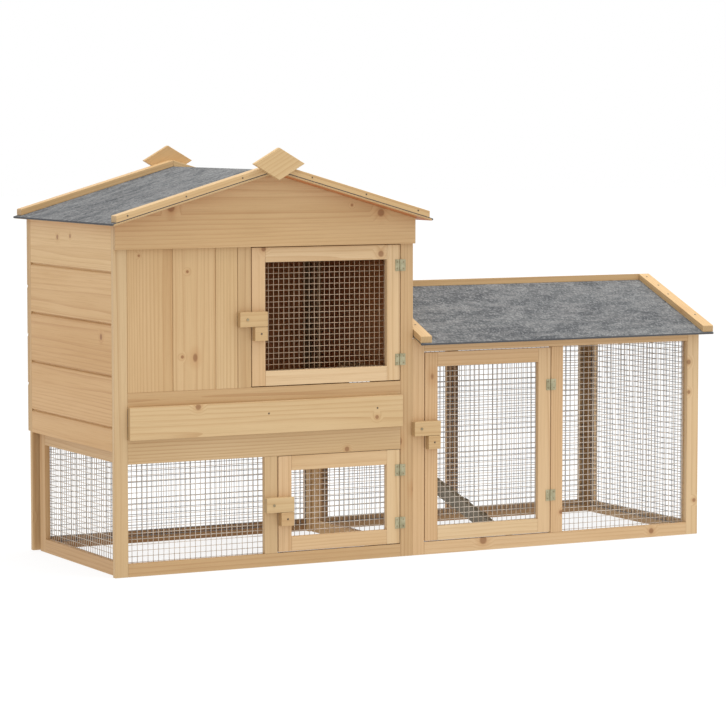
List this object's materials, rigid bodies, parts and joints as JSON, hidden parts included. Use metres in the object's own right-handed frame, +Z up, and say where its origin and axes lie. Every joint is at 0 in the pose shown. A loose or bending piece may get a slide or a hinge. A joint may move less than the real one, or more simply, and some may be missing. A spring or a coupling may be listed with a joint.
{
  "type": "rabbit hutch",
  "caption": "Two-storey wooden rabbit hutch with a gabled felt-roofed house, mesh doors with turn-button latches, a pull-out tray, a ramp and a low mesh run.",
  "frame": {"origin": "on the ground under the middle of the whole outline", "axes": "+X from the house towards the run, +Y from the door side to the back, +Z up"},
  "size_m": [1.561, 0.608, 0.9338],
  "materials": {
    "pine": "clear stained pine, satin",
    "ramp_timber": "dark stained, rough",
    "roof_felt": "mineral surfaced bitumen felt, rough",
    "galvanised_wire": "galvanised",
    "zinc": "zinc plated",
    "pan_sheet": "galvanised sheet"
  },
  "bodies": {
    "hutch": {"house_front_posts": "pine", "house_front_rails": "pine", "house_front_stiles": "pine", "front_boards": "pine", "left_side_frame": "pine", "left_wall_boards": "pine", "right_side_frame": "pine", "right_wall_boards": "pine", "house_back_frame": "pine", "back_wall_boards": "pine", "front_gable_board": "pine", "back_gable_board": "pine", "corner_battens": "pine", "floor_bearers": "pine", "upper_floor": "pine", "tray_guides": "pine", "ramp_board": "ramp_timber", "ramp_cleats": "ramp_timber", "house_ridge_beam": "pine", "house_roof_boards": "pine", "house_roof_felt": "roof_felt", "house_roof_battens": "pine", "front_finial": "pine", "back_finial": "pine", "house_front_mesh": "galvanised_wire", "left_side_mesh": "galvanised_wire", "house_back_mesh": "galvanised_wire", "run_front_frame": "pine", "run_back_frame": "pine", "run_right_frame": "pine", "run_gable_board": "pine", "run_ridge_beam": "pine", "run_roof_boards": "pine", "run_roof_felt": "roof_felt", "run_roof_battens": "pine", "run_ridge_batten": "pine", "run_front_mesh": "galvanised_wire", "run_back_mesh": "galvanised_wire", "run_right_mesh": "galvanised_wire", "frame_hinge_leaves": "zinc", "hinge_pins": "zinc", "latch_pivots": "zinc"},
    "upper_door": {"upper_door_frame": "pine", "upper_door_mesh": "galvanised_wire", "upper_door_handle": "pine", "upper_door_hinge_leaves": "zinc"},
    "lower_door": {"lower_door_frame": "pine", "lower_door_mesh": "galvanised_wire", "lower_door_handle": "pine", "lower_door_hinge_leaves": "zinc"},
    "run_door": {"run_door_frame": "pine", "run_door_mesh": "galvanised_wire", "run_door_handle": "pine", "run_door_hinge_leaves": "zinc"},
    "upper_button": {"upper_door_button": "pine"},
    "lower_button": {"lower_door_button": "pine"},
    "run_button": {"run_door_button": "pine"},
    "tray": {"tray_front": "pine", "tray_pan": "pan_sheet"}
  },
  "joints": [
    {"name": "upper_door_hinge", "type": "hinge", "parent": "hutch", "child": "upper_door", "pos_m": [-0.05248, -0.2412, 0.559], "axis": [0, 0, 1], "range_deg": [0, 105]},
    {"name": "lower_door_hinge", "type": "hinge", "parent": "hutch", "child": "lower_door", "pos_m": [-0.05248, -0.2412, 0.1385], "axis": [0, 0, 1], "range_deg": [0, 105]},
    {"name": "run_door_hinge", "type": "hinge", "parent": "hutch", "child": "run_door", "pos_m": [0.34852, -0.2412, 0.248], "axis": [0, 0, 1], "range_deg": [0, 105]},
    {"name": "upper_button_turn", "type": "hinge", "parent": "hutch", "child": "upper_button", "pos_m": [-0.44348, -0.2465, 0.555], "axis": [0, -1, 0], "range_deg": [0, 90]},
    {"name": "lower_button_turn", "type": "hinge", "parent": "hutch", "child": "lower_button", "pos_m": [-0.37948, -0.2465, 0.1385], "axis": [0, -1, 0], "range_deg": [0, 90]},
    {"name": "run_button_turn", "type": "hinge", "parent": "hutch", "child": "run_button", "pos_m": [-0.00448, -0.2465, 0.292], "axis": [0, -1, 0], "range_deg": [0, 90]},
    {"name": "tray_slide", "type": "slide", "parent": "hutch", "child": "tray", "axis": [0, -1, 0], "range_m": [0, 0.3]}
  ]
}
